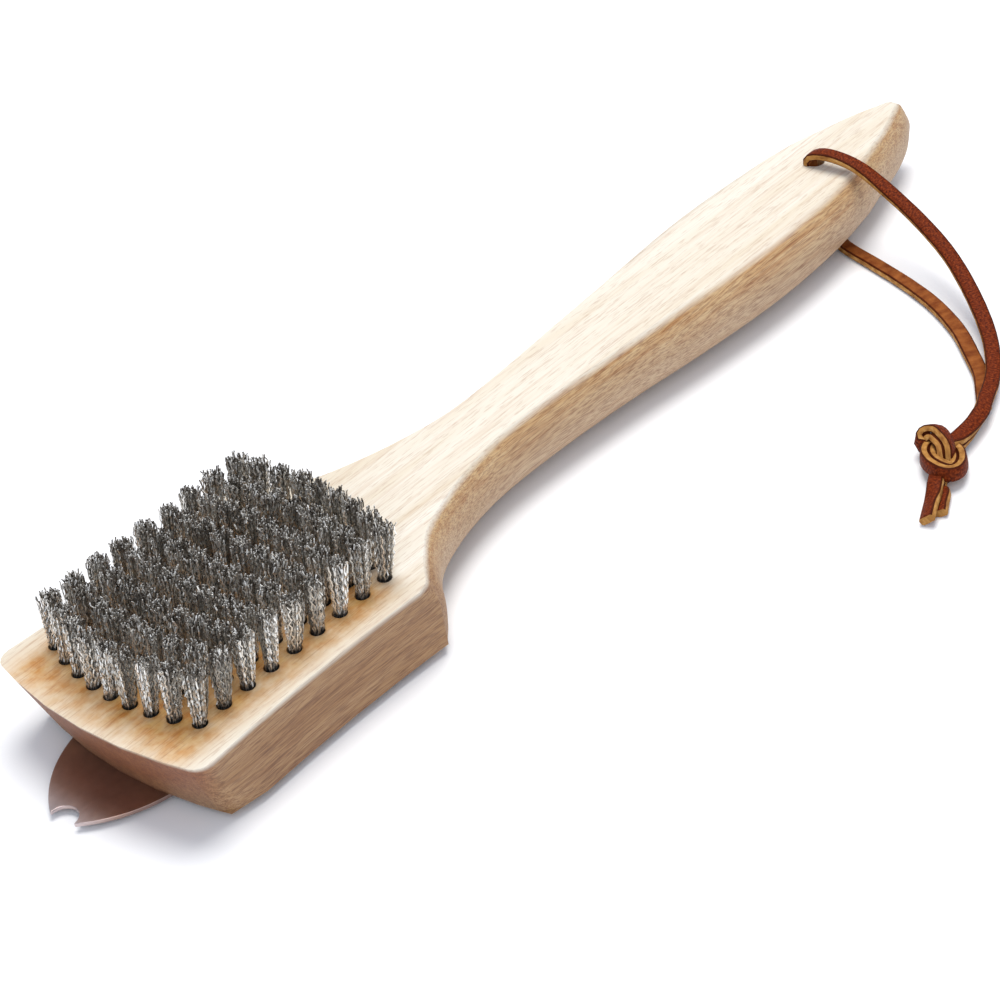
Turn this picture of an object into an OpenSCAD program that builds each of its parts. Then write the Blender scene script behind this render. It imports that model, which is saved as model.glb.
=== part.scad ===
// Grill cleaning brush: one shaped wooden board with nine rows of nine wire
// tufts, a steel scraper screwed under the head and a knotted leather lace.
// Units are millimetres. +Z is up with the bristles pointing up, +X runs from
// the head to the handle tip, +Y is to the left. The origin is the middle of
// the rigid brush's footprint, on the surface the brush lies on.

/* [Wood] */
// thickness of the board
board_t = 18.4; // [16:0.2:22]
// length from the front corners to the handle tip
wood_len = 290; // [270:1:310]
// head width at the front corners
head_front_w = 66; // [62:0.5:72]
// head width at its narrowest
head_waist_w = 62.4; // [60:0.2:64]
// how far the front edge bows out past its corners
front_bow = 4.8; // [3:0.2:7]
// how far the front face slopes back towards the underside
front_undercut = 7; // [3:0.5:9]
// neck width across the top face
neck_top_w = 16.6; // [14:0.2:22]
// neck width at mid thickness
neck_w = 22.8; // [21:0.2:30]
// grip width across the top face
grip_top_w = 26.4; // [22:0.2:30]
// grip width at mid thickness
grip_w = 36; // [32:0.5:40]

/* [Bristles] */
// tufts in each row, across the head
tufts_across = 9; // [5:1:9]
// spacing of the tufts across the head
pitch_y = 5.8; // [5.4:0.1:6]
// spacing of the rows along the head
pitch_x = 7.1; // [6:0.1:7.4]
// distance from the front corners to the outer tufts of the first row
first_row = 10.6; // [9:0.2:13]
// forward bow of the first row
first_bow = 4.6; // [0:0.2:5]
// rearward bow of the last row
last_bow = 3.6; // [0:0.2:5]
// diameter of the drilled tuft holes
tuft_hole_d = 3.6; // [3.2:0.1:4.6]
// depth of the drilled tuft holes
tuft_hole_depth = 10; // [8:0.5:12]
// height of the bristles above the wood
tuft_h = 15; // [12:0.5:22]
// diameter of a tuft at its tip
tuft_tip_d = 5.2; // [4.2:0.1:5.4]

/* [Scraper] */
// thickness of the steel plate
plate_t = 1; // [0.8:0.1:1.2]
// width of the plate where it leaves the wood
plate_w = 34; // [30:0.5:38]
// reach of the plate past the front corners of the wood
plate_reach = 15; // [12:0.5:20]
// diameter of the notch that hooks over a grate bar
notch_d = 7; // [6:0.2:7.4]
// how far the plate is turned from square on the head
plate_skew = 4; // [0:0.5:5]
// spacing of the two screws
screw_spacing = 18; // [14:0.5:24]
// height of the screw heads
screw_head_h = 1.4; // [1.2:0.1:2]

/* [Lace] */
// diameter of the plain tube that stands for the lace
lace_d = 2.2; // [1.8:0.1:2.3]
// diameter of the hole through the handle
lace_hole_d = 5; // [4:0.2:6]

/* [Hidden] */

rows = 9;
fine = 64;
// the wood rests on the screw heads, which stand under the plate
wood_z = plate_t + screw_head_h;
top_z = wood_z + board_t;
// every X below is measured from the front corners of the head
origin_x = (wood_len - plate_reach) / 2;
shoulder_x = 73;
// the tip of the top face lies this far short of the nose of the handle
nose_run = 6;
// the underside starts to rise this far short of the nose
heel_run = 16;
// radius of the rounding along the underside of the handle
under_r = 9;
// centre of the tuft field, a little left of the board's centreline
field_y = 1.5;
lace_hole_x = 252;

// colours
wood_col = [0.87, 0.72, 0.52];
steel_col = [0.45, 0.44, 0.42];
bristle_col = [0.50, 0.49, 0.46];
zinc_col = [0.70, 0.70, 0.70];
leather_col = [0.55, 0.24, 0.10];

// stations of the handle outline: X, half width of the top face, half width
// at mid thickness
cove = head_waist_w / 2 + 0.8;
// the top edge of the head curves in by this much over its last stretch
shoulder_drop = 3.4;
shoulder_run = 5;
handle_stations = [
    [shoulder_x, cove - shoulder_drop, cove],
    [shoulder_x + 3, 25.4, 30.4],
    [shoulder_x + 7, 21.8, 25.6],
    [shoulder_x + 12, 18, 21.2],
    [shoulder_x + 20, 14.6, 17.2],
    [shoulder_x + 32, 11, 13.6],
    [shoulder_x + 47, neck_top_w / 2, neck_w / 2],
    [shoulder_x + 65, neck_top_w / 2 + 0.2, neck_w / 2 + 0.1],
    [shoulder_x + 90, neck_top_w / 2 + 1.9, neck_w / 2 + 1.9],
    [shoulder_x + 115, grip_top_w / 2 - 1.4, grip_w / 2 - 1.8],
    [shoulder_x + 140, grip_top_w / 2, grip_w / 2],
    [shoulder_x + 162, grip_top_w / 2 - 0.6, grip_w / 2 - 0.6],
    [shoulder_x + 180, grip_top_w / 2 - 2.2, grip_w / 2 - 3],
    [wood_len - 25, 8, 11.6],
    [wood_len - 14, 4.8, 8.2],
    [wood_len - 6, 1.6, 5.2],
    [wood_len, 0.3, 1.6]
];

// smooth curve through the stations: value k at X position x
function seg(x, i = 0) =
    i >= len(handle_stations) - 2 || x < handle_stations[i + 1][0] ? i : seg(x, i + 1);
function slope(i, k) =
    let (a = max(i - 1, 0), b = min(i + 1, len(handle_stations) - 1))
    (handle_stations[b][k] - handle_stations[a][k])
    / (handle_stations[b][0] - handle_stations[a][0]);
function curve(x, k) =
    let (i = seg(x),
         p = handle_stations[i],
         q = handle_stations[i + 1],
         h = q[0] - p[0],
         t = (x - p[0]) / h)
    (2 * t * t * t - 3 * t * t + 1) * p[k]
    + (t * t * t - 2 * t * t + t) * h * slope(i, k)
    + (3 * t * t - 2 * t * t * t) * q[k]
    + (t * t * t - t * t) * h * slope(i + 1, k);

// half width of the head, whose long sides are shallow hollow curves
function head_half(x) =
    head_waist_w / 2 + (head_front_w - head_waist_w) / 2 * pow((x - 42) / 42, 2);

// side positions where a cross-section of the wood is taken
head_xs = [-12, 0, 14, 28, 42, 56, 67, 69, 71];
cove_xs = [for (d = [0 : 2 : 20]) shoulder_x + d];
neck_xs = [for (d = [24 : 5 : 64]) shoulder_x + d];
grip_xs = [for (d = [72 : 8 : 176]) shoulder_x + d];
tip_xs = [for (d = [34, 28, 22, 17, 12, 9, 6, 4, 2.5, 1.2, 0]) wood_len - d];
// the nose ends in a small flat
nose_flat = 0.4;
wood_xs = concat(head_xs, cove_xs, neck_xs, grip_xs, tip_xs);

upper_steps = 4;
lower_steps = 5;
// angle at which the side leaves the top face, which leaves a soft ridge
ridge_angle = 35;

function round_off(d, run) = d >= run ? 1 : sqrt(max(1 - pow(1 - d / run, 2), 0));

// one side of a cross-section, from the top face down to the underside
function side_points(x) =
    let (on_head = x < shoulder_x,
         in_by = shoulder_drop * pow(max((x - shoulder_x) / shoulder_run + 1, 0), 2),
         a = on_head ? head_half(x) - in_by : curve(x, 1),
         b = on_head ? head_half(x) : curve(x, 2),
         blend = min(max((x - shoulder_x) / 14, 0), 1),
         c = max(b - under_r * blend, b * (1 - 0.75 * blend)),
         mid = wood_z + board_t / 2,
         left = max(wood_len - x, nose_flat),
         up = board_t / 2 * round_off(left, nose_run),
         down = board_t / 2 * round_off(left, heel_run),
         s0 = sin(ridge_angle),
         c0 = cos(ridge_angle))
    concat(
        [for (i = [0 : upper_steps])
            let (g = ridge_angle + (90 - ridge_angle) * i / upper_steps)
            [a + (b - a) * (sin(g) - s0) / (1 - s0), mid + up * cos(g) / c0]],
        [for (i = [1 : lower_steps])
            let (g = 90 * i / lower_steps)
            [c + (b - c) * cos(g), mid - down * sin(g)]]
    );

function section(x) =
    let (s = side_points(x), n = len(s))
    concat(
        [for (i = [0 : n - 1]) [x, -s[i][0], s[i][1]]],
        [for (i = [n - 1 : -1 : 0]) [x, s[i][0], s[i][1]]]
    );

// solid skin through a list of rings that all have the same even number of
// points; each end is closed by strips across the ring
module skin(rings) {
    n = len(rings[0]);
    m = len(rings);
    e = (m - 1) * n;
    polyhedron(
        points = [for (r = rings, p = r) p],
        faces = concat(
            [for (i = [0 : n / 2 - 2], h = [0, 1])
                h == 0 ? [i, n - 2 - i, i + 1] : [i, n - 1 - i, n - 2 - i]],
            [for (k = [0 : m - 2], i = [0 : n - 1], h = [0, 1])
                let (a = k * n + i, b = k * n + (i + 1) % n)
                h == 0 ? [a, b, b + n] : [a, b + n, a + n]],
            [for (i = [0 : n / 2 - 2], h = [0, 1])
                h == 0 ? [e + i, e + i + 1, e + n - 2 - i]
                       : [e + i, e + n - 2 - i, e + n - 1 - i]]
        ),
        convexity = 8
    );
}

// the front face is a shallow cone: bowed, and sloping back to the underside
module front_shape() {
    chord = head_front_w / 2;
    r = (chord * chord + front_bow * front_bow) / (2 * front_bow);
    translate([r - front_bow, 0, wood_z - 1])
        cylinder(h = board_t + 2,
                 r1 = r - front_undercut * (board_t + 1) / board_t,
                 r2 = r + front_undercut / board_t, $fn = fine);
    translate([60, -60, wood_z - 1])
        cube([wood_len, 120, board_t + 2]);
}

function tuft_y(j) = field_y + (j - (tufts_across - 1) / 2) * pitch_y;
function row_bow(i) = -first_bow + (first_bow + last_bow) * i / (rows - 1);
function tuft_x(i, j) =
    let (u = (j - (tufts_across - 1) / 2) / ((tufts_across - 1) / 2))
    first_row + pitch_x * i + row_bow(i) * (1 - u * u);

// places a child at each tuft of row i, counted from 0 at the front
module each_tuft(i) {
    for (j = [0 : tufts_across - 1])
        translate([tuft_x(i, j), tuft_y(j), top_z - tuft_hole_depth])
            children();
}

// the plate and its screws are turned a little about the notch
module on_plate() {
    translate([-plate_reach, 0, 0])
        rotate([0, 0, plate_skew])
            translate([plate_reach, 0, 0])
                children();
}

module each_screw() {
    for (s = [-1, 1])
        on_plate()
            translate([22, s * screw_spacing / 2, 0])
                children();
}

screw_core_d = 2.8;
screw_thread_d = 3.4;
screw_depth = 12;

module wood_body() {
    color(wood_col)
    difference() {
        intersection() {
            skin([for (x = wood_xs) section(x)]);
            front_shape();
        }
        for (i = [0 : rows - 1])
            each_tuft(i)
                cylinder(h = tuft_hole_depth + 1, d = tuft_hole_d, $fn = fine);
        each_screw()
            translate([0, 0, wood_z - 1])
                cylinder(h = screw_depth + 1, d = screw_core_d, $fn = fine);
        translate([lace_hole_x, 0, wood_z - 1])
            cylinder(h = board_t + 2, d = lace_hole_d, $fn = fine);
    }
}

// a bundle of wires folded over its anchor: straight in the hole, flared above
anchor_len = 5;
anchor_w = 1.8;
anchor_t = 0.4;
anchor_lift = 0.8;
module tuft_row(i) {
    foot_d = tuft_hole_d - 0.1;
    color(bristle_col)
    each_tuft(i)
        difference() {
            union() {
                cylinder(h = tuft_hole_depth, d = foot_d, $fn = fine);
                translate([0, 0, tuft_hole_depth])
                    cylinder(h = tuft_h, d1 = foot_d, d2 = tuft_tip_d, $fn = fine);
            }
            translate([-anchor_len / 2, -anchor_t / 2, anchor_lift])
                cube([anchor_len, anchor_t, anchor_w]);
        }
}

// flat wire anchors that hold the tufts, wider than the hole so they bite
module tuft_anchors(i) {
    color(zinc_col)
    each_tuft(i)
        translate([-anchor_len / 2, -anchor_t / 2, anchor_lift])
            cube([anchor_len, anchor_t, anchor_w]);
}

// the plate narrows in a pointed arch to two horns around the notch
arch_x = 11.4;
arch_r = 33;
tang_x = 38;
tang_corner = 6;
module scraper_outline() {
    half = plate_w / 2;
    intersection() {
        translate([-plate_reach, -half])
            square([tang_x + plate_reach, plate_w]);
        union() {
            translate([arch_x, -half])
                square([tang_x - arch_x - tang_corner, plate_w]);
            translate([arch_x, tang_corner - half])
                square([tang_x - arch_x, plate_w - 2 * tang_corner]);
            for (s = [-1, 1])
                translate([tang_x - tang_corner, s * (half - tang_corner)])
                    circle(r = tang_corner, $fn = fine);
            intersection_for(s = [-1, 1])
                translate([arch_x, s * (arch_r - half)])
                    circle(r = arch_r, $fn = 2 * fine);
        }
    }
}

module scraper_plate() {
    color(steel_col)
    difference() {
        on_plate()
            translate([0, 0, screw_head_h])
                linear_extrude(plate_t)
                    scraper_outline();
        translate([-plate_reach + 0.2, 0, 0])
            cylinder(h = wood_z + 1, d = notch_d, $fn = fine);
        each_screw()
            cylinder(h = wood_z + 1, d = screw_thread_d + 0.6, $fn = fine);
    }
}

// truss head screws with a cross recess, driven up into the wood
module scraper_screws() {
    head_d = 7.6;
    recess_w = 0.9;
    recess_l = 4;
    recess_h = 0.9;
    color(zinc_col)
    each_screw()
        difference() {
            union() {
                cylinder(h = screw_head_h, d1 = head_d - 2.2, d2 = head_d, $fn = fine);
                cylinder(h = screw_head_h + plate_t + 9, d = screw_thread_d, $fn = fine);
                translate([0, 0, screw_head_h + plate_t + 9])
                    cylinder(h = screw_depth - 10, d1 = screw_thread_d, d2 = 0.8, $fn = fine);
            }
            translate([-recess_l / 2, -recess_w / 2, -1])
                cube([recess_l, recess_w, 1 + recess_h]);
            translate([-recess_w / 2, -recess_l / 2, -1])
                cube([recess_w, recess_l, 1 + recess_h]);
        }
}

// route of the lace, from the knot up over the handle, down through its hole,
// out under the handle and along the floor back to the knot
floor_z = lace_d / 2 + 0.1;
knot_x = 189;
knot_y = -84;
knot_z = 5;
route = [
    [knot_x + 5, knot_y + 1, knot_z],
    [204, -82.4, 3.2],
    [209, -81.6, 3.4],
    [215, -79, 3.2],
    [221, -75.4, 3.2],
    [228.4, -69.4, 4],
    [235, -62, 6],
    [241, -53, 9.4],
    [246, -44, 12],
    [249.6, -33, 15.8],
    [251.4, -22, 20.2],
    [251.8, -14, 23.4],
    [251.4, -7, 24.6],
    [250.8, -2, 24.2],
    [250.6, 0.6, 22.4],
    [251.2, 0.8, 19.4],
    [lace_hole_x, 0, 11.6],
    [lace_hole_x, 0, 5.4],
    [lace_hole_x - 0.6, -1, 2.4],
    [250, -5, floor_z],
    [246.8, -13, floor_z],
    [244.2, -24, floor_z],
    [241, -36, floor_z],
    [237, -47, floor_z],
    [231, -58, floor_z],
    [224, -67, floor_z],
    [217, -73.4, floor_z],
    [209.4, -77.8, 1.3],
    [201, -80, 2],
    [knot_x + 6, knot_y + 4, knot_z - 1]
];

// smooth curve through the route points
function route_at(i, t) =
    let (n = len(route),
         p0 = route[max(i - 1, 0)],
         p1 = route[i],
         p2 = route[i + 1],
         p3 = route[min(i + 2, n - 1)])
    0.5 * (2 * p1 + (p2 - p0) * t + (2 * p0 - 5 * p1 + 4 * p2 - p3) * t * t
           + (3 * p1 - p0 - 3 * p2 + p3) * t * t * t);
route_steps = 2;
lace_path = concat(
    [for (i = [0 : len(route) - 2], s = [0 : route_steps - 1]) route_at(i, s / route_steps)],
    [route[len(route) - 1]]
);

// frames that turn along the path without twisting
function unit(v) = v / norm(v);
function heading(path, k) =
    unit(path[min(k + 1, len(path) - 1)] - path[max(k - 1, 0)]);
function frames(path, k = 0, side = undef, out = []) =
    k >= len(path) ? out :
    let (d = heading(path, k),
         s0 = side == undef ? cross(d, [0, 0, 1]) : side - (side * d) * d,
         s = unit(s0))
    frames(path, k + 1, s, concat(out, [[s, cross(d, s)]]));
module tube(path, d) {
    sides = 8;
    fr = frames(path);
    skin([for (k = [0 : len(path) - 1])
        [for (i = [0 : sides - 1])
            let (g = -360 * i / sides)
            path[k] + d / 2 * (cos(g) * fr[k][0] + sin(g) * fr[k][1])]]);
}

module lace() {
    color(leather_col)
    tube(lace_path, lace_d);
}

// the overhand knot as one rounded lump lying on the floor
module lace_knot() {
    color(leather_col)
    translate([knot_x, knot_y, knot_z])
        rotate([0, 0, 35])
            scale([9, 6.6, 4.8])
                sphere(r = 1, $fn = 24);
}

module lace_tails() {
    color(leather_col) {
        tube([[knot_x - 5, knot_y - 3, 3.6], [177, -90, 1.6], [171, -93, floor_z], [166, -95, floor_z]], lace_d);
        tube([[knot_x - 4, knot_y - 5, 3.6], [179, -93, 1.6], [174, -97, floor_z], [169, -99.5, floor_z]], lace_d);
    }
}

translate([-origin_x, 0, 0]) {
    wood_body();
    tuft_row(0);  // tuft_row_1
    tuft_row(1);  // tuft_row_2
    tuft_row(2);  // tuft_row_3
    tuft_row(3);  // tuft_row_4
    tuft_row(4);  // tuft_row_5
    tuft_row(5);  // tuft_row_6
    tuft_row(6);  // tuft_row_7
    tuft_row(7);  // tuft_row_8
    tuft_row(8);  // tuft_row_9
    tuft_anchors(0);  // tuft_anchors_1
    tuft_anchors(1);  // tuft_anchors_2
    tuft_anchors(2);  // tuft_anchors_3
    tuft_anchors(3);  // tuft_anchors_4
    tuft_anchors(4);  // tuft_anchors_5
    tuft_anchors(5);  // tuft_anchors_6
    tuft_anchors(6);  // tuft_anchors_7
    tuft_anchors(7);  // tuft_anchors_8
    tuft_anchors(8);  // tuft_anchors_9
    scraper_plate();
    scraper_screws();
    lace();
    lace_knot();
    lace_tails();
}
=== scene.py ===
import math
import bmesh
import bpy
import numpy as np
from mathutils import Matrix, Vector


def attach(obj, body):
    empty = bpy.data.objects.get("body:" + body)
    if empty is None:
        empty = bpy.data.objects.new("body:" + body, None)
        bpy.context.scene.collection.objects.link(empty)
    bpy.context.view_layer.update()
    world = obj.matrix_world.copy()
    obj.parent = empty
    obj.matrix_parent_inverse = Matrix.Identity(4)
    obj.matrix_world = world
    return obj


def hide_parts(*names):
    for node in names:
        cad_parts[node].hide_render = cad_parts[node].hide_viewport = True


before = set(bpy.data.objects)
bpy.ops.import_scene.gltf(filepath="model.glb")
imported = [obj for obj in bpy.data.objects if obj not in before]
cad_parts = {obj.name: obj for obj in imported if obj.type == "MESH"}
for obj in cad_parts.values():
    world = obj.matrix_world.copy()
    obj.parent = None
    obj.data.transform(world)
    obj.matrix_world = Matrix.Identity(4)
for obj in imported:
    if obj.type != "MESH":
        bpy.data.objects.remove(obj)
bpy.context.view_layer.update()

MM = 0.001

# ---------------------------------------------------------------- camera
# The brush is seen from in front of the head, from its right side and from
# well above, with the horizon tilted ten degrees.
camera_data = bpy.data.cameras.new("camera")
camera_data.lens = 110.6
camera_data.sensor_width = 36
camera = bpy.data.objects.new("camera", camera_data)
bpy.context.scene.collection.objects.link(camera)
forward = Vector((0.5359, 0.5926, -0.6013)).normalized()
up = Vector((0.5244, 0.3245, 0.7872))
eye = Vector((-0.4063, -0.4351, 0.4369))
right = forward.cross(up).normalized()
up = right.cross(forward)
camera.matrix_world = Matrix((
    (right.x, up.x, -forward.x, eye.x),
    (right.y, up.y, -forward.y, eye.y),
    (right.z, up.z, -forward.z, eye.z),
    (0, 0, 0, 1),
))
bpy.context.scene.camera = camera


# ---------------------------------------------------------------- lace
# A flat leather lace, 3.8 mm wide and 1.9 mm thick, cut from drum-dyed latigo.
# It is threaded through the handle, doubled, and tied in one overhand knot.
# Both halves meet end to end inside the hole in the handle.
def linear(hex_colour):
    """sRGB hex to the linear colour a shader socket takes"""
    parts = [int(hex_colour[i : i + 2], 16) / 255 for i in (1, 3, 5)]
    return [c / 12.92 if c <= 0.04045 else ((c + 0.055) / 1.055) ** 2.4 for c in parts] + [1]


def add(nodes, kind, settings=None, **links):
    """adds one node: settings are its own, links are sockets' values or sources"""
    node = nodes.new(kind)
    for key, value in (settings or {}).items():
        setattr(node, key, value)
    for key, value in links.items():
        name = key.replace("_", " ")
        socket = node.inputs[int(key[1:])] if key[1:].isdigit() else node.inputs[name]
        if isinstance(value, bpy.types.NodeSocket):
            nodes.id_data.links.new(value, socket)
        else:
            socket.default_value = value
    return node


def ramp(nodes, source, *stops):
    """a colour ramp through stops of (position, sRGB hex)"""
    node = add(nodes, "ShaderNodeValToRGB", Fac=source)
    while len(node.color_ramp.elements) < len(stops):
        node.color_ramp.elements.new(0.5)
    for element, (position, colour) in zip(node.color_ramp.elements, stops):
        element.position = position
        element.color = linear(colour)
    return node.outputs["Color"]


def blend_colour(nodes, how, factor, first, second):
    """two colours mixed or multiplied, each a socket or a linear colour"""
    settings = {"data_type": "RGBA", "blend_type": how, "clamp_result": True}
    node = add(nodes, "ShaderNodeMix", settings, Factor=factor)
    for socket, value in ((node.inputs[6], first), (node.inputs[7], second)):
        if isinstance(value, bpy.types.NodeSocket):
            nodes.id_data.links.new(value, socket)
        else:
            socket.default_value = value
    return node.outputs[2]


def noise(nodes, vector, scale=1, detail=3, roughness=0.6, **more):
    """a noise pattern, 0 to 1"""
    return add(nodes, "ShaderNodeTexNoise", Vector=vector, Scale=scale, Detail=detail,
               Roughness=roughness, **more).outputs["Fac"]


def rise(nodes, value, start, end, low=0.0, high=1.0, settings=None):
    """low to high as the value goes from start to end, and level past them"""
    return add(nodes, "ShaderNodeMapRange", settings, Value=value, From_Min=start, From_Max=end,
               To_Min=low, To_Max=high).outputs[0]


def bump(nodes, shader, height, strength, distance):
    """raises a material's surface by a pattern"""
    node = add(nodes, "ShaderNodeBump", Strength=strength, Distance=distance, Height=height)
    nodes.id_data.links.new(node.outputs[0], shader.inputs["Normal"])


def new_material(name):
    """a material, its nodes and its surface shader"""
    material = bpy.data.materials.new(name)
    material.use_nodes = True
    nodes = material.node_tree.nodes
    return material, nodes, nodes["Principled BSDF"]


def new_piece(name, vertices, faces):
    """an object in the scene from vertices in metres"""
    mesh = bpy.data.meshes.new(name)
    mesh.from_pydata(vertices, [], faces)
    piece = bpy.data.objects.new(name, mesh)
    bpy.context.scene.collection.objects.link(piece)
    return piece


# Sizes are in mm and X starts at the head's front corners. The frame's origin
# is origin_x behind them.
origin_x = 137.5
lace_w, lace_t = 3.8, 1.9
lace_hole_x, lace_hole_d = 252, 5


def smooth_route(points, step):
    """points along a smooth curve through the given ones, about a step apart"""
    out = []
    for i in range(len(points) - 1):
        p0, p1 = points[max(i - 1, 0)], points[i]
        p2, p3 = points[i + 1], points[min(i + 2, len(points) - 1)]
        count = max(2, round(np.linalg.norm((p2 - p1)[:3]) / step))
        for k in range(count):
            t = k / count
            out.append(
                0.5 * (2 * p1 + (p2 - p0) * t + (2 * p0 - 5 * p1 + 4 * p2 - p3) * t * t
                       + (3 * p1 - p0 - 3 * p2 + p3) * t * t * t)
            )
    out.append(points[-1])
    return np.array(out)


# the doubled lace through the knot: X from the head's front corners, Y, Z in
# mm, then how far the flat side is turned from facing up to facing right
knot_route = np.array([
    [203.7, -83.5, 3, -30],
    [197.9, -84.8, 3, -24],
    [192.5, -85.5, 3.2, -8],
    [189.1, -85.6, 3.4, 20],
    [187.4, -84.9, 3.4, 55],
    [186.8, -83.2, 3.4, 75],
    [185.5, -82.4, 3.6, 85],
    [182.8, -83.8, 4, 86],
    [180.8, -86.2, 4.4, 84],
    [179.8, -89, 4.6, 82],
    [180.1, -91.3, 4.4, 82],
    [182, -92, 4, 84],
    [185.1, -90.7, 3.4, 85],
    [188.4, -87.8, 2.6, 80],
    [189.4, -84.8, 2.3, 70],
    [189.3, -82.1, 2.3, 70],
    [187.7, -80.7, 2.8, 80],
    [186.5, -79.9, 4, 100],
    [187, -79.6, 5.4, 122],
    [187.9, -80.3, 6.2, 142],
    [188.3, -82.2, 6.6, 148],
    [186.9, -84.9, 6.6, 138],
    [185.2, -87, 6, 112],
    [183.9, -87.7, 4.4, 80],
    [181.8, -88.2, 2.8, 55],
    [178.6, -89.5, 2.2, 20],
    [176, -90.7, 2.1, 10],
], float)
# the two halves from the knot to the hole and from the hole to the knot, and
# their cut tails: X, Y, Z as above
upper_route = np.array([
    [209, -81.6, 3.4], [215, -79, 3.2], [221, -75.4, 3.2], [228.4, -69.4, 4],
    [235, -62, 6], [241, -53, 9.4], [246, -44, 12], [249.6, -33, 15.8],
    [251.4, -22, 20.2], [251.8, -14, 23.4], [251.4, -7, 24.6], [250.8, -2, 24.2],
    [250.6, 0.6, 22.4], [251.2, 0.8, 19.4], [lace_hole_x, 0, 11.6],
], float)
lower_route = np.array([
    [lace_hole_x, 0, 11.6], [lace_hole_x, 0, 5.4], [251.4, -1, 2.4], [250, -5, 1.25],
    [246.8, -13, 1.2], [244.2, -24, 1.2], [241, -36, 1.2], [237, -47, 1.2],
    [231, -58, 1.2], [224, -67, 1.2], [218.5, -73.4, 1.2], [213, -77.9, 1.4],
    [208.2, -81.6, 1.7],
], float)
tail_routes = (
    np.array([[173.4, -91.9, 2.3], [169.2, -93.9, 2.1], [165.4, -95.8, 2]], float),
    np.array([[176.1, -92.4, 1.3], [172.8, -94.3, 1.1], [169.7, -96.1, 1]], float),
)

knot_step, loop_step, tail_step = 0.8, 1.6, 1
knot_fine = smooth_route(knot_route, knot_step)
knot_dir = np.gradient(knot_fine[:, :3], axis=0)
knot_dir /= np.linalg.norm(knot_dir, axis=1)[:, None]
rightward = np.cross(knot_dir, [0, 0, 1])
rightward /= np.linalg.norm(rightward, axis=1)[:, None]
upward = np.cross(rightward, knot_dir)
turn = np.radians(knot_fine[:, 3])[:, None]
knot_normal = np.cos(turn) * upward + np.sin(turn) * rightward
# under the last crossing the lower strand rolls over, so its tail lies grain up
roll_from, roll_to = len(knot_fine) - 10, len(knot_fine) - 4
roll = np.interp(np.arange(len(knot_fine)), [roll_from, roll_to], [math.pi, 0])[:, None]
knot_roll = np.cos(roll) * knot_normal + np.sin(roll) * np.cross(knot_dir, knot_normal)


def lace_strip(name, route, normals):
    """a flat strip along the route in mm, its dyed grain side along normals"""
    along = np.gradient(route, axis=0)
    along /= np.linalg.norm(along, axis=1)[:, None]
    normal = normals - (normals * along).sum(1)[:, None] * along
    normal /= np.linalg.norm(normal, axis=1)[:, None]
    side = np.cross(along, normal)
    # the section, from the grain side round, c cut off each corner, and the
    # grain side and the cut edges a little domed
    hw, ht, c, dome_top, dome_edge = lace_w / 2, lace_t / 2, 0.35, 1.04, 1.02
    section = [
        (-hw + c, ht), (0, ht * dome_top), (hw - c, ht), (hw, ht - c),
        (hw * dome_edge, 0), (hw, -ht + c), (hw - c, -ht), (0, -ht),
        (-hw + c, -ht), (-hw, -ht + c), (-hw * dome_edge, 0), (-hw, ht - c),
    ]
    point_gap = 1.03
    on_cut_edge = [0, 0, 0.35, 1, 1, 0.35, 0, 0, 0.35, 1, 1, 0.35]
    on_flesh = [0, 0, 0, 0, 0, 0.5, 1, 1, 0.5, 0, 0, 0]
    # hand-cut strip wanders in width, and lies this far clear of the table
    rng = np.random.default_rng(7)
    window, wander, clear = 9, 0.09, 0.05
    sway = rng.normal(0, 1, len(route) + window - 1)
    sway = np.convolve(sway, np.ones(window) / window, "valid") * wander
    vertices = []
    for i in range(len(route)):
        for a, b in section:
            p = route[i] + side[i] * a * (1 + sway[i]) + normal[i] * b * (1 - sway[i])
            vertices.append(((p[0] - origin_x) * MM, p[1] * MM, max(p[2], clear) * MM))
    n = len(section)
    faces = [
        (i * n + j, i * n + (j + 1) % n, (i + 1) * n + (j + 1) % n, (i + 1) * n + j)
        for i in range(len(route) - 1) for j in range(n)
    ]
    sides = len(faces)
    faces.append(tuple(range(n))[::-1])
    faces.append(tuple((len(route) - 1) * n + j for j in range(n)))
    strip = new_piece(name, vertices, faces)
    mesh = strip.data
    for attribute, values, end in (("cut_edge", on_cut_edge, 1.0), ("flesh_side", on_flesh, 0.0)):
        layer = mesh.attributes.new(attribute, "FLOAT", "FACE")
        layer.data.foreach_set("value", [values[k % n] for k in range(sides)] + [end, end])
    steps = np.linalg.norm(np.diff(route, axis=0), axis=1)
    length = np.concatenate([[0], np.cumsum(steps)])
    uv = mesh.uv_layers.new(name="lace")
    for face in mesh.polygons:
        for corner, vertex in zip(face.loop_indices, face.vertices):
            ring, j = divmod(vertex, n)
            if j == 0 and face.index < sides and face.index % n == n - 1:
                j = n
            uv.data[corner].uv = (length[ring] * MM, j * point_gap * MM)
    bm = bmesh.new()
    bm.from_mesh(mesh)
    bmesh.ops.recalc_face_normals(bm, faces=bm.faces)
    bm.to_mesh(mesh)
    bm.free()
    for face in mesh.polygons:
        face.use_smooth = face.index < sides
    path = [((p[0] - origin_x) * MM, p[1] * MM, p[2] * MM) for p in route]
    return strip, path, float(length[-1]) * MM


def hints(count, *vectors):
    """one vector for each route point, moving evenly through those given"""
    stops = range(len(vectors))
    at = np.linspace(0, len(vectors) - 1, count)
    columns = np.array(vectors, float).T
    return np.array([[np.interp(k, stops, column) for column in columns] for k in at])


def evened(normals):
    """the normals twice averaged with their neighbours"""
    for _ in range(2):
        normals[1:-1] = (normals[:-2] + 2 * normals[1:-1] + normals[2:]) / 4
    return normals


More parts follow.
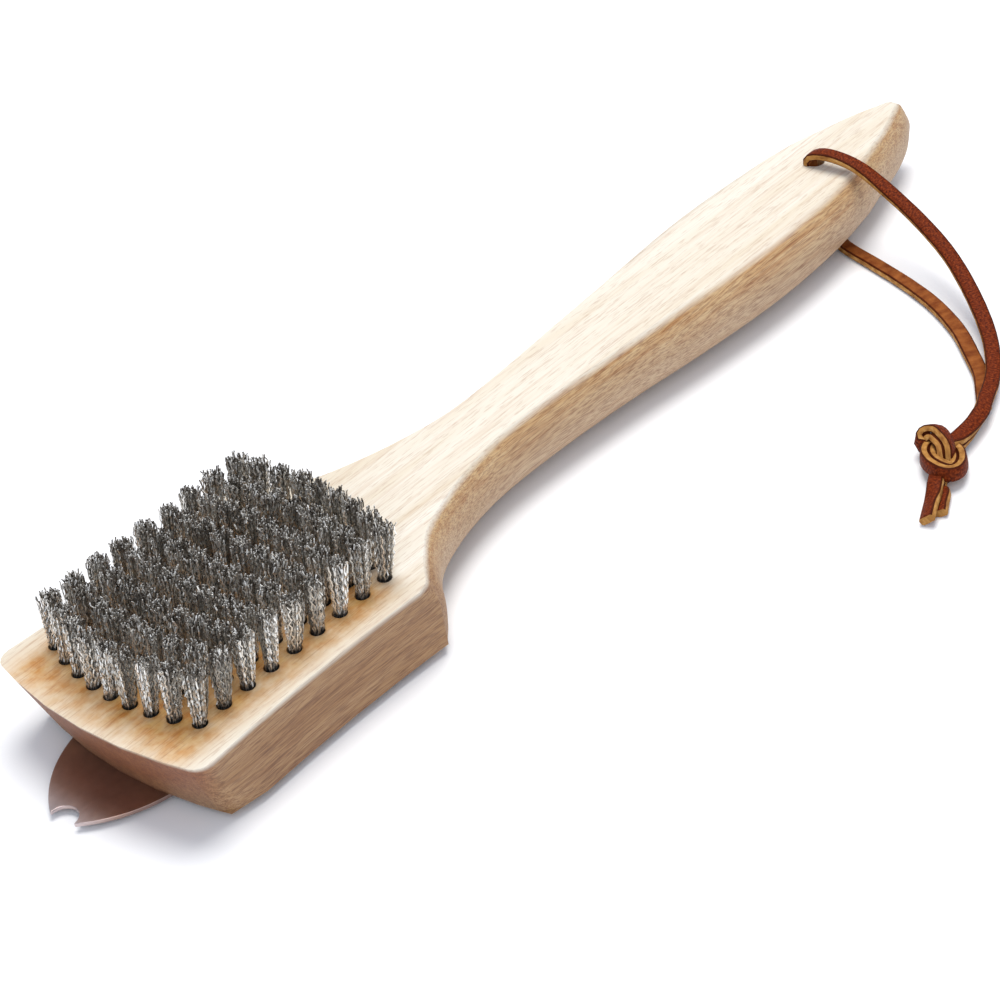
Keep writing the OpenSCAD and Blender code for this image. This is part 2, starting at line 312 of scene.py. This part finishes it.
# the two strands lie flesh to flesh in the knot with a slight gap
spread = lace_t / 2 + 0.06
knot_upper = knot_fine[:, :3] + spread * knot_normal
knot_lower = knot_fine[:, :3] - spread * knot_normal
UP, FAR, DOWN = (0, 0, 1), (0, 1, 0), (0, 0, -1)
# the upper half: from inside the hole, over the handle, into the knot, its
# grain side leaning outwards where it hangs off the handle; past hole_x and
# hole_y it stands in the hole with its grain side to +Y
loop = smooth_route(upper_route[::-1], loop_step)
hole_x, hole_y = 249, -1.2
loop_normal = np.array([FAR if p[0] > hole_x and p[1] > hole_y else UP for p in loop], float)
lean = np.interp(loop[:, 1], [-82, -76, -60, -38, -22, -10], [30, 34, 48, 48, 26, 0])
loop_normal += np.sin(np.radians(lean))[:, None] * np.array([-0.7, -0.7, 0])
tail = smooth_route(np.vstack([knot_upper[-1:], tail_routes[0]]), tail_step)[1:]
tail_up = (-0.45, 0.4, 0.8)
lace_upper, path_upper, length_upper = lace_strip(
    "lace_upper",
    np.vstack([loop, knot_upper, tail]),
    np.vstack([evened(loop_normal), knot_normal,
               hints(len(tail), knot_normal[-1], tail_up, tail_up)]),
)
# the lower half: from inside the hole, out under the handle, into the knot
loop = smooth_route(lower_route, loop_step)
under_z = 2.6
loop_normal = np.array([FAR if p[2] > under_z else DOWN for p in loop], float)
tail = smooth_route(np.vstack([knot_lower[-1:], tail_routes[1]]), tail_step)[1:]
tail_up = (-0.3, 0.3, 0.9)
lace_lower, path_lower, length_lower = lace_strip(
    "lace_lower",
    np.vstack([loop, knot_lower, tail]),
    np.vstack([evened(loop_normal), knot_roll,
               hints(len(tail), knot_roll[-1], tail_up, tail_up)]),
)

# Latigo leather: oiled red-brown grain with a fine pebble, a smoother orange
# flesh side, and golden raw edges that show where the strip was cut.
leather, nodes, shader = new_material("latigo_leather")
where = add(nodes, "ShaderNodeUVMap", {"uv_map": "lace"}).outputs[0]
pebble = noise(nodes, where, 2200)
patch = noise(nodes, where, 420, 2, 0.5)
cut = add(nodes, "ShaderNodeAttribute", {"attribute_name": "cut_edge"}).outputs["Fac"]
flesh = add(nodes, "ShaderNodeAttribute", {"attribute_name": "flesh_side"}).outputs["Fac"]
grain = ramp(nodes, pebble, (0.32, "#3A1105"), (0.5, "#632308"), (0.68, "#8A3D17"))
flesh_colour = ramp(nodes, patch, (0.3, "#6B3212"), (0.7, "#955728"))
edge_colour = ramp(nodes, patch, (0.3, "#86572A"), (0.55, "#B07E42"), (0.75, "#CB9E62"))
colour = blend_colour(nodes, "MIX", flesh, grain, flesh_colour)
colour = blend_colour(nodes, "MIX", cut, colour, edge_colour)
# the corner facets between the faces and the cut edges are made darker, a thin dark line along
# each edge of the strip
darkened_corners = ramp(nodes, cut, (0.1, "#FFFFFF"), (0.35, "#8C6048"), (0.7, "#FFFFFF"))
colour = blend_colour(nodes, "MULTIPLY", 1.0, colour, darkened_corners)
nodes.id_data.links.new(colour, shader.inputs["Base Color"])
shader.inputs["Roughness"].default_value = 0.6
shader.inputs["IOR"].default_value = 1.45
shader.inputs["Specular IOR Level"].default_value = 0.1
bump(nodes, shader, pebble, 0.55, 0.25 * MM)
for strip in (lace_upper, lace_lower):
    strip.data.materials.append(leather)
    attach(strip, "root")
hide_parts("lace", "lace_knot")
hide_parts("lace_tails")


# ---------------------------------------------------------------- wooden body
# Head and handle are one planed 18.4 mm beech board: sawn to outline, the
# handle rounded over underneath, the front sloped back, and drilled for the
# bristles. The wood is bare and sanded.
board_t = 18.4
wood_z = 2.4
top_z = wood_z + board_t
wood_len = 290
shoulder_x = 73
head_front_w, head_waist_w = 66, 62.4
front_bow, front_undercut = 4.8, 7
neck_top_w, neck_w, grip_top_w, grip_w = 16.6, 22.8, 26.4, 36
cove = head_waist_w / 2 + 0.8
shoulder_drop, corner_len, waist_x = 3.4, 5, 42
# the handle's outline: X, half width of the top face, half width at mid thickness
outline = np.array([
    [shoulder_x, cove - shoulder_drop, cove],
    [shoulder_x + 3, 25.4, 30.4],
    [shoulder_x + 7, 21.8, 25.6],
    [shoulder_x + 12, 18, 21.2],
    [shoulder_x + 20, 14.6, 17.2],
    [shoulder_x + 32, 11, 13.6],
    [shoulder_x + 47, neck_top_w / 2, neck_w / 2],
    [shoulder_x + 65, neck_top_w / 2 + 0.2, neck_w / 2 + 0.1],
    [shoulder_x + 90, neck_top_w / 2 + 1.9, neck_w / 2 + 1.9],
    [shoulder_x + 115, grip_top_w / 2 - 1.4, grip_w / 2 - 1.8],
    [shoulder_x + 140, grip_top_w / 2, grip_w / 2],
    [shoulder_x + 162, grip_top_w / 2 - 0.6, grip_w / 2 - 0.6],
    [shoulder_x + 180, grip_top_w / 2 - 2.2, grip_w / 2 - 3],
    [wood_len - 25, 8, 11.6],
    [wood_len - 14, 4.8, 8.2],
    [wood_len - 6, 1.6, 5.2],
    [wood_len, 0.3, 1.6],
])
# its slopes, each from the point before to the point after
after = np.vstack([outline[1:], outline[-1:]])
before = np.vstack([outline[:1], outline[:-1]])
slopes = (after - before) / (after - before)[:, :1]


def half_width(x, k):
    """half width at X: 1 for the top face, 2 at mid thickness"""
    if x <= shoulder_x:
        into_corner = max((x - shoulder_x + corner_len) / corner_len, 0)
        rounding = shoulder_drop * into_corner**2 if k == 1 else 0
        flare = (head_front_w - head_waist_w) / 2 * ((x - waist_x) / waist_x) ** 2
        return head_waist_w / 2 + flare - rounding
    i = min(int(np.searchsorted(outline[:, 0], x, "right")) - 1, len(outline) - 2)
    p, q = outline[i], outline[i + 1]
    h = q[0] - p[0]
    t = (x - p[0]) / h
    return ((2 * t**3 - 3 * t**2 + 1) * p[k] + (t**3 - 2 * t**2 + t) * h * slopes[i][k]
            + (3 * t**2 - 2 * t**3) * q[k] + (t**3 - t**2) * h * slopes[i + 1][k])


def round_off(left, run):
    """share of the full thickness where left mm remain to a nose rounded over run"""
    return 1 if left >= run else math.sqrt(max(1 - (1 - left / run) ** 2, 0))


# the section of the handle is an arc cut off ridge degrees from its crown, and
# its underside is narrower than its middle by under_in, over handle_run
ridge = math.radians(35)
under_in, under_share, handle_run = 9, 0.75, 14
nose_top, nose_under, nose_end = 6, 16, 0.4
# the bowed front slopes back over front_run, and its corners draw in below
front_r = ((head_front_w / 2) ** 2 + front_bow**2) / (2 * front_bow)
front_run, corner_run, corner_draw = 16, 14, 0.075


def on_wood(x, across, level):
    """place on the board: X in mm, across -1 to 1, level 1 at the top face,
    0 at mid thickness, -1 at the underside"""
    a, b = half_width(x, 1), half_width(x, 2)
    blend = min(max((x - shoulder_x) / handle_run, 0), 1)
    c = max(b - under_in * blend, b * (1 - under_share * blend))
    left = max(wood_len - x, nose_end)
    if level >= 0:
        g = ridge + (math.pi / 2 - ridge) * (1 - level)
        s0 = math.sin(ridge)
        wide = a + (b - a) * (math.sin(g) - s0) / (1 - s0)
        z = board_t / 2 * round_off(left, nose_top) * math.cos(g) / math.cos(ridge)
    else:
        g = math.pi / 2 * -level
        wide = c + (b - c) * math.cos(g)
        z = -board_t / 2 * round_off(left, nose_under) * math.sin(g)
    y = across * wide
    if x < corner_run:
        y *= 1 - corner_draw * (1 - x / corner_run) * (0.5 - z / board_t)
    if x < front_run:
        r = front_r - front_undercut * (board_t / 2 - z) / board_t
        front = front_r - front_bow - math.sqrt(r * r - y * y)
        x = front + x / front_run * (front_run - front)
    return x, y, wood_z + board_t / 2 + z


# a block cut into stations along, across and up, then each point moved into place
merge = 0.00001
bpy.ops.object.select_all(action="DESELECT")
bpy.ops.mesh.primitive_cube_add(size=2, location=(wood_len / 2, 0, 0))
wood = bpy.context.active_object
wood.name = "wooden_board"
wood.scale = (wood_len / 2, 1, 1)
bpy.ops.object.transform_apply(location=True, rotation=True, scale=True)
stations = [front_run, 30, 44, 58, 68, 71, 72.4]
stations += [shoulder_x + d for d in (0, 0.7, 1.5, 2.4, 3.4, 4.6, 6, 7.6, 9.4)]
stations += [shoulder_x + d for d in (11.4, 13.6, 16, 19, 22.5, 26.5, 31, *range(36, 180, 6))]
stations += [wood_len - d for d in (34, 30, 26, 22, 19, 16, 13.5, 11, 9, 7.2, 5.6, 4.2)]
stations += [wood_len - d for d in (3, 2, 1.2, 0.5)]
bpy.ops.object.mode_set(mode="EDIT")
cuts = [((x, 0, 0), (1, 0, 0)) for x in stations]
cuts += [((0, y, 0), (0, 1, 0)) for y in (-0.9, -0.72, -0.36, 0, 0.36, 0.72, 0.9)]
cuts += [((0, 0, z), (0, 0, 1)) for z in (-0.84, -0.67, -0.5, -0.33, -0.16)]
cuts += [((0, 0, z), (0, 0, 1)) for z in (0, 0.2, 0.4, 0.6, 0.8)]
for point, normal in cuts:
    bpy.ops.mesh.select_all(action="SELECT")
    bpy.ops.mesh.bisect(plane_co=point, plane_no=normal, threshold=merge)
bpy.ops.object.mode_set(mode="OBJECT")
corner_ids = set()
for v in wood.data.vertices:
    x, across, level = v.co
    if x < 0.01 and abs(across) > 0.999:
        corner_ids.add(v.index)
    x, y, z = on_wood(x, across, level)
    v.co = ((x - origin_x) * MM, y * MM, z * MM)
# the two upright edges at the front corners are rounded over
front_corner_r = 6
for parts in (wood.data.polygons, wood.data.edges, wood.data.vertices):
    parts.foreach_set("select", [False] * len(parts))
for edge in wood.data.edges:
    a, b = (wood.data.vertices[i] for i in edge.vertices)
    upright = abs(a.co.z - b.co.z) > 0.5 * MM
    edge.select = a.index in corner_ids and b.index in corner_ids and upright
bpy.ops.object.mode_set(mode="EDIT")
bpy.ops.mesh.select_mode(type="EDGE")
bpy.ops.mesh.bevel(offset=front_corner_r * MM, offset_type="OFFSET", segments=4, profile=0.5,
                   clamp_overlap=True)
bpy.ops.mesh.select_mode(type="VERT")
bpy.ops.object.mode_set(mode="OBJECT")
ease = wood.modifiers.new("eased edges", "BEVEL")
ease.width = 0.55 * MM
ease.segments = 2
ease.limit_method = "ANGLE"
ease.angle_limit = math.radians(50)
bpy.ops.object.modifier_apply(modifier=ease.name)

# nine rows of nine drilled holes, bowed with the front edge, and the lace hole
tuft_d, tuft_depth, drill_past = 3.6, 10, 1
field_y, pitch_y, pitch_x = 1.5, 5.8, 7.1
first_row, first_bow, last_bow = 10.6, 4.6, 3.6
rows, per_row, middle = 9, 9, 4


def tuft_place(row, k):
    """X from the front corners and Y of hole k of a row"""
    u = (k - middle) / middle
    bow = -first_bow + (first_bow + last_bow) * row / (rows - 1)
    return first_row + pitch_x * row + bow * (1 - u * u), field_y + (k - middle) * pitch_y


bpy.ops.object.select_all(action="DESELECT")
# every tuft's hole is blind; the lace's goes right through
drills = []
holes = [(*tuft_place(i, k), tuft_d, top_z - tuft_depth, top_z + drill_past)
         for i in range(rows) for k in range(per_row)]
holes.append((lace_hole_x, 0, lace_hole_d, wood_z - drill_past, top_z + drill_past))
for x, y, d, low, high in holes:
    bpy.ops.mesh.primitive_cylinder_add(
        vertices=20, radius=d / 2 * MM, depth=(high - low) * MM,
        location=((x - origin_x) * MM, y * MM, (low + high) / 2 * MM))
    drills.append(bpy.context.active_object)
bpy.ops.object.select_all(action="DESELECT")
for drill in drills:
    drill.select_set(True)
bpy.context.view_layer.objects.active = drills[0]
bpy.ops.object.join()
bpy.ops.object.transform_apply(location=True, rotation=True, scale=True)
drill = bpy.context.active_object
bpy.ops.object.select_all(action="DESELECT")
wood.select_set(True)
bpy.context.view_layer.objects.active = wood
cut_holes = wood.modifiers.new("drilled holes", "BOOLEAN")
cut_holes.operation = "DIFFERENCE"
cut_holes.solver = "EXACT"
cut_holes.object = drill
bpy.ops.object.modifier_apply(modifier=cut_holes.name)
bpy.data.objects.remove(drill)
bpy.ops.object.shade_smooth_by_angle(angle=math.radians(42))
flat_shade = wood.modifiers.new("face weighted normals", "WEIGHTED_NORMAL")
flat_shade.keep_sharp = True
bpy.ops.object.modifier_apply(modifier=flat_shade.name)

# Steamed beech, planed and sanded: creamy, with long soft growth bands, short
# brown ray flecks and pores along the grain, and painted warm shade that darkens
# the top orange between the tufts.
beech, nodes, shader = new_material("sanded_beech")
place = add(nodes, "ShaderNodeTexCoord").outputs["Object"]


def along_grain(across_mm, along_mm, shift=0.0):
    """coordinates in cells this far across the grain and along it"""
    return add(nodes, "ShaderNodeMapping", Vector=place,
               Location=(shift, shift * 0.7, shift * 1.3), Rotation=(0, 0, math.radians(1.2)),
               Scale=(1000 / along_mm, 1000 / across_mm, 1000 / across_mm)).outputs[0]


def times(first, second):
    return add(nodes, "ShaderNodeMath", {"operation": "MULTIPLY"}, _0=first, _1=second).outputs[0]


apart = add(nodes, "ShaderNodeSeparateXYZ", Vector=place).outputs
bands = noise(nodes, along_grain(5.5, 130), 1, 4, 0.55, Distortion=0.25)
streaks = noise(nodes, along_grain(1.1, 38, 3))
pores = noise(nodes, along_grain(0.34, 5, 8), 1, 2, 0.5)
flecks = add(nodes, "ShaderNodeTexVoronoi", {"feature": "F1"}, Vector=along_grain(0.8, 9, 5),
             Scale=1, Randomness=1.0)
tone = ramp(nodes, bands, (0.3, "#D5C8B2"), (0.48, "#DBD2C2"), (0.7, "#E2DCD0"))
streak = ramp(nodes, streaks, (0.34, "#D2A988"), (0.5, "#FFFFFF"))
tone = blend_colour(nodes, "MULTIPLY", 0.24, tone, streak)
pore = ramp(nodes, pores, (0.34, "#B88A66"), (0.44, "#FFFFFF"))
tone = blend_colour(nodes, "MULTIPLY", 0.3, tone, pore)
fleck = ramp(nodes, flecks.outputs["Distance"], (0.06, "#9C6238"), (0.16, "#FFFFFF"))
tone = blend_colour(nodes, "MULTIPLY", 0.26, tone, fleck)
# painted shade: the sides below the top face are painted darker and browner than the planed top,
# as shade from the light overhead, and partly for the browner sawn edge grain, with darker
# streaks
shaded_sawn_sides = rise(nodes, apart["Z"], (top_z - 0.2) * MM, (top_z - 1.5) * MM)
dashes = noise(nodes, along_grain(0.24, 6, 12), 1, 2)
side_shade_and_grain = ramp(nodes, streaks, (0.32, "#A2774F"), (0.5, "#B58C60"), (0.66, "#C29C72"))
# painted light: the handle's rounded sides are painted paler than the head's sides, and golden
# under the top edge as a painted warm reflection, turning pinker lower down
lit_grip_sides = ramp(nodes, streaks, (0.32, "#CA9C66"), (0.5, "#DAB686"), (0.66, "#E4C89E"))
under_painted_glow = rise(nodes, apart["Z"], (top_z - 2) * MM, (top_z - 9) * MM)
lit_grip_sides = blend_colour(nodes, "MIX", under_painted_glow, lit_grip_sides, linear("#DCC2A6"))
shoulder_at = shoulder_x - origin_x
on_grip = rise(nodes, apart["X"], (shoulder_at + 1) * MM, (shoulder_at + 9) * MM)
side_shade_and_grain = blend_colour(nodes, "MIX", on_grip, side_shade_and_grain, lit_grip_sides)
# end grain at the front soaks up more and is browner
end_grain = rise(nodes, apart["X"], (5 - origin_x) * MM, (0 - origin_x) * MM)
side_shade_and_grain = blend_colour(nodes, "MULTIPLY", end_grain, side_shade_and_grain, linear("#E2AC74"))
dash = ramp(nodes, dashes, (0.38, "#A0765A"), (0.54, "#FFFFFF"))
side_shade_and_grain = blend_colour(nodes, "MULTIPLY", 0.6, side_shade_and_grain, dash)
# the sides' colour, grain with painted shade, goes on below the top face
shaded_side_tone = blend_colour(nodes, "MULTIPLY", 0.95, tone, side_shade_and_grain)
tone = blend_colour(nodes, "MIX", shaded_sawn_sides, tone, shaded_side_tone)


def inside(value, centre, half, fade):
    """1 within half of the centre, falling to 0 over twice the fade"""
    away = add(nodes, "ShaderNodeMath", {"operation": "SUBTRACT"}, _0=value, _1=centre * MM)
    away = add(nodes, "ShaderNodeMath", {"operation": "ABSOLUTE"}, _0=away.outputs[0])
    return rise(nodes, away.outputs[0], (half + fade) * MM, (half - fade) * MM,
                settings={"interpolation_type": "SMOOTHSTEP"})


# painted shade: on the top face only, inside the field of bristles, the wood is
# painted darker and orange as shade between the tufts, fading out at the field's edge; it is
# cloudy, with darker painted blots
in_x = inside(apart["X"], 32 - origin_x, 34, 6)
in_y = inside(apart["Y"], field_y - 1.5, 27.5, 4.5)
in_z = inside(apart["Z"], top_z, 1.2, 0.6)
cloud = noise(nodes, along_grain(7, 9, 2))
cloud = rise(nodes, cloud, 0.3, 0.62, 0.6, 1.0)
painted_tuft_shade = times(times(times(in_x, in_y), in_z), cloud)
tone = blend_colour(nodes, "MULTIPLY", painted_tuft_shade, tone, linear("#E9C382"))
# darker painted blots within the painted shade
painted_shade_blot = noise(nodes, along_grain(2.6, 3.6, 6))
painted_shade_blot = times(painted_tuft_shade, rise(nodes, painted_shade_blot, 0.38, 0.64, 0.2, 1.0))
tone = blend_colour(nodes, "MULTIPLY", painted_shade_blot, tone, linear("#E8BE86"))
nodes.id_data.links.new(tone, shader.inputs["Base Color"])
shader.inputs["Roughness"].default_value = 0.55
shader.inputs["IOR"].default_value = 1.48
bump(nodes, shader, pores, 0.25, 0.2 * MM)
wood.data.materials.clear()
wood.data.materials.append(beech)
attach(wood, "root")
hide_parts("wood_body")


# ---------------------------------------------------------------- tuft anchors
# Short pieces of zinc plated flat wire, driven in with each folded tuft, and
# the zinc plated screws of the scraper. Both keep the shape of the CAD.
zinc, nodes, shader = new_material("zinc_plated_steel")
place = add(nodes, "ShaderNodeTexCoord").outputs["Object"]
spangle = noise(nodes, place, 900)
colour = ramp(nodes, spangle, (0.3, "#8E9194"), (0.6, "#C2C4C4"))
nodes.id_data.links.new(colour, shader.inputs["Base Color"])
shader.inputs["Metallic"].default_value = 1
shader.inputs["Roughness"].default_value = 0.38
zinc_nodes = [f"tuft_anchors_{i}" for i in range(1, rows + 1)] + ["scraper_screws"]
for name in zinc_nodes:
    node = bpy.data.objects[name]
    node.data.materials.clear()
    node.data.materials.append(zinc)


# ---------------------------------------------------------------- wire tufts
# Each tuft is a bundle of crimped 0.36 mm stainless wires, folded over its
# anchor in the hole and trimmed flat. It is tight at the wood and spreads
# towards the tips, and every wire is wavy and a little out of line.
tuft_h, wire_d, wires_in_tuft = 14.8, 0.36, 74
crimp_pitch, crimp_reach = 2.8, 0.34
# how far a wire is modelled down its hole, and that as a share of its length
below, foot_share, bends = 2.5, 0.14, 14
bpy.ops.object.select_all(action="DESELECT")
bpy.ops.mesh.primitive_cylinder_add(vertices=3, radius=wire_d / 2, depth=1,
                                    end_fill_type="TRIFAN", location=(0, 0, 0.5))
wire = bpy.context.active_object
bpy.ops.object.transform_apply(location=True, rotation=True, scale=True)
bpy.ops.object.mode_set(mode="EDIT")
for k in range(bends):
    cut_z = foot_share + (1 - foot_share) * k / bends
    bpy.ops.mesh.select_all(action="SELECT")
    bpy.ops.mesh.bisect(plane_co=(0, 0, cut_z), plane_no=(0, 0, 1), threshold=merge)
bpy.ops.object.mode_set(mode="OBJECT")
wire_points = np.array([v.co[:] for v in wire.data.vertices])
wire_faces = [tuple(face.vertices) for face in wire.data.polygons]
bpy.data.objects.remove(wire)
rng = np.random.default_rng(11)
golden_angle, full_turn = 2.39996, 6.283
# the bundle's radius at the wood is hole_gap less than the hole's, and at the
# tips in spread_r; outer wires end dished lower, and each strays by stray
hole_gap, spread_r, dished, stray = 0.45, (2.3, 3.05), 0.4, 0.24


def bundle(lean_x, lean_y):
    """one tuft in mm about its hole, its tip leaning as asked, and a shade for
    each point's wire"""
    points, shine = [], []
    full = rng.uniform(*spread_r)
    for k in range(wires_in_tuft):
        # evenly packed in the hole, then spread with height
        rad = math.sqrt((k + 0.5) / wires_in_tuft)
        ang = k * golden_angle + rng.normal(0, 0.25)
        foot = rad * (tuft_d / 2 - hole_gap)
        tip = rad * full * rng.uniform(0.85, 1.12)
        high = tuft_h + rng.normal(-0.1, 0.2) - dished * rad * rad
        t = wire_points[:, 2]
        z = -below + t * (high + below)
        flare = np.clip(z / tuft_h, 0, 1) ** 0.8
        phase, turn = rng.uniform(0, full_turn), rng.uniform(0, full_turn)
        wave = crimp_reach * rng.uniform(0.6, 1.25) * np.clip(z / 1.2 + 0.35, 0.2, 1)
        bend = np.sin(z * full_turn / (crimp_pitch * rng.uniform(0.9, 1.1)) + phase) * wave
        stray_x, stray_y = rng.normal(0, stray, 2)
        c, s = math.cos(turn), math.sin(turn)
        out = foot + (tip - foot) * flare
        across, along = wire_points[:, 0], wire_points[:, 1]
        x = across * c - along * s + math.cos(ang) * out + bend * c + stray_x * flare
        y = across * s + along * c + math.sin(ang) * out + bend * s + stray_y * flare
        x = x + lean_x * flare
        y = y + lean_y * flare
        points.append(np.stack([x, y, z], 1))
        shine.append(np.full(len(t), rng.uniform(0, 1)))
    return np.concatenate(points), np.concatenate(shine)


# Drawn stainless wire: grey steel with brown heat tint, each wire a random tone.
# Painted glints and shade speckle the wires, painted shade darkens the crown's darker wires while
# the other cut tips stay bright, and painted shade darkens the feet.
steel_wire, nodes, shader = new_material("crimped_stainless_wire")
place = add(nodes, "ShaderNodeTexCoord").outputs["Object"]
own = add(nodes, "ShaderNodeAttribute", {"attribute_name": "wire_shade"}).outputs["Fac"]
high = add(nodes, "ShaderNodeSeparateXYZ", Vector=place).outputs["Z"]
# painted glints: a fine noise turns the wires bright and dark in short dashes, as painted
# highlights where crimped wire catches the light and painted shade between
glint = add(nodes, "ShaderNodeMapping", Vector=place, Scale=(2100, 2100, 1500)).outputs[0]
painted_glints = noise(nodes, glint, 1, 2)
colour = ramp(nodes, own, (0.0, "#A39D94"), (0.35, "#C2BDB3"), (0.5, "#ECE9E1"), (1.0, "#FEFCF8"))
painted_glint_colour = ramp(nodes, painted_glints, (0.36, "#4E4843"), (0.46, "#FFFFFF"))
colour = blend_colour(nodes, "MULTIPLY", 0.85, colour, painted_glint_colour)
tips_z = top_z + tuft_h
# painted shade: near the tips the wires with a low tone are painted darker, as shade seen down
# into the bundle, so the other tips stand out bright
painted_crown_shade = rise(nodes, high, (tips_z - 4) * MM, (tips_z - 0.8) * MM)
crown_shade_tone = ramp(nodes, own, (0.5, "#ACA7A4"), (0.62, "#FFFFFF"))
colour = blend_colour(nodes, "MULTIPLY", painted_crown_shade, colour, crown_shade_tone)
# painted shade: the wires are painted near black where they go into the wood
foot = rise(nodes, high, (top_z + 2.2) * MM, top_z * MM, 0.0, 0.8)
colour = blend_colour(nodes, "MIX", foot, colour, linear("#1E2023"))
nodes.id_data.links.new(colour, shader.inputs["Base Color"])
shader.inputs["Metallic"].default_value = 0.75
shader.inputs["Roughness"].default_value = 0.34
bump(nodes, shader, painted_glints, 0.2, 0.1 * MM)

# every tuft leans a little to +X and -Y, and those past the middle more so
lean_x, lean_y, side_lean, lean_spread = 0.8, -1.3, 0.3, 0.2
for row in range(rows):
    points, shades = [], []
    for k in range(per_row):
        x, y = tuft_place(row, k)
        left = max((k - middle) / middle, 0) ** 2
        tuft, shade = bundle(lean_x + side_lean * left + rng.normal(0, lean_spread),
                             lean_y - side_lean * left + rng.normal(0, lean_spread))
        points.append((tuft + [x - origin_x, y, top_z]) * MM)
        shades.append(shade)
    points = np.concatenate(points)
    count = len(points) // len(wire_points)
    faces = [tuple(i + w * len(wire_points) for i in face)
             for w in range(count) for face in wire_faces]
    piece = new_piece(f"wire_row_{row + 1}", points.tolist(), faces)
    layer = piece.data.attributes.new("wire_shade", "FLOAT", "POINT")
    layer.data.foreach_set("value", np.concatenate(shades))
    piece.data.materials.append(steel_wire)
    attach(piece, "root")
    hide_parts(f"tuft_row_{row + 1}")


# ---------------------------------------------------------------- scraper
# A pointed shield of 1 mm rolled stainless sheet, blanked with a notch that
# hooks over a grate bar, and screwed under the front of the head.
bpy.ops.object.select_all(action="DESELECT")
scraper_node = bpy.data.objects["scraper_plate"]
scraper = bpy.data.objects.new("scraper_blade", scraper_node.data.copy())
bpy.context.scene.collection.objects.link(scraper)
scraper.select_set(True)
bpy.context.view_layer.objects.active = scraper
bpy.ops.object.mode_set(mode="EDIT")
bpy.ops.mesh.select_all(action="SELECT")
bpy.ops.mesh.remove_doubles(threshold=merge)
bpy.ops.mesh.dissolve_limited(angle_limit=math.radians(1))
bpy.ops.object.mode_set(mode="OBJECT")
burr = scraper.modifiers.new("blanked edge", "BEVEL")
burr.width = 0.16 * MM
burr.segments = 2
burr.limit_method = "ANGLE"
burr.angle_limit = math.radians(40)
bpy.ops.object.modifier_apply(modifier=burr.name)
bpy.ops.object.shade_smooth_by_angle(angle=math.radians(50))
flat_shade = scraper.modifiers.new("face weighted normals", "WEIGHTED_NORMAL")
bpy.ops.object.modifier_apply(modifier=flat_shade.name)

# Rolled stainless sheet: fine rolling lines and light scratches, and a painted
# reflection of the warm wood above it.
sheet_steel, nodes, shader = new_material("rolled_stainless_sheet")
place = add(nodes, "ShaderNodeTexCoord").outputs["Object"]
lines = add(nodes, "ShaderNodeMapping", Vector=place, Scale=(60, 2600, 2600),
            Rotation=(0, 0, 0.5)).outputs[0]
rolling = noise(nodes, lines)
smudge = noise(nodes, place, 170)
colour = ramp(nodes, smudge, (0.3, "#D6D3DB"), (0.7, "#EFEDF4"))
# painted reflection: the sheet is painted browner towards the wood, as a reflection of the warm
# wood above it
painted_wood_reflection = add(nodes, "ShaderNodeSeparateXYZ", Vector=place).outputs["X"]
painted_wood_reflection = rise(nodes, painted_wood_reflection, (-24 - origin_x) * MM, (-8 - origin_x) * MM)
colour = blend_colour(nodes, "MULTIPLY", painted_wood_reflection, colour, linear("#C4A896"))
nodes.id_data.links.new(colour, shader.inputs["Base Color"])
rough = rise(nodes, rolling, 0, 1, 0.26, 0.44)
nodes.id_data.links.new(rough, shader.inputs["Roughness"])
shader.inputs["Metallic"].default_value = 1
bump(nodes, shader, rolling, 0.15, 0.05 * MM)
scraper.data.materials.clear()
scraper.data.materials.append(sheet_steel)
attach(scraper, "root")
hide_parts("scraper_plate")


# ---------------------------------------------------------------- setting
# A plain white paper table top, just under the screw heads. A big soft light
# hangs overhead, a little towards the handle, and a weak one fills the front.
bpy.ops.object.select_all(action="DESELECT")
bpy.ops.mesh.primitive_plane_add(size=6, location=(0, 0, -0.05 * MM))
floor = bpy.context.active_object
floor.name = "table_top"
paper, nodes, shader = new_material("white_paper")
shader.inputs["Base Color"].default_value = linear("#F4F5F7")
shader.inputs["Roughness"].default_value = 0.9
floor.data.materials.append(paper)


def soft_light(name, place, aim, size, watts, colour):
    light = bpy.data.lights.new(name, "AREA")
    light.shape = "DISK"
    light.size = size
    light.energy = watts
    light.color = linear(colour)[:3]
    lamp = bpy.data.objects.new(name, light)
    bpy.context.scene.collection.objects.link(lamp)
    lamp.location = place
    lamp.rotation_euler = (Vector(aim) - Vector(place)).to_track_quat("-Z", "Y").to_euler()


soft_light("key", (0.28, 0.08, 1.3), (0, 0, 0), 0.9, 16.5, "#FFFBF5")
soft_light("fill", (-0.7, -0.8, 0.9), (0, 0, 0), 1.2, 5, "#F8FAFF")
world = bpy.data.worlds.new("studio")
bpy.context.scene.world = world
world.use_nodes = True
world.node_tree.nodes["Background"].inputs["Color"].default_value = linear("#E4ECFA")
world.node_tree.nodes["Background"].inputs["Strength"].default_value = 0.6
bpy.context.scene.view_settings.view_transform = "Standard"
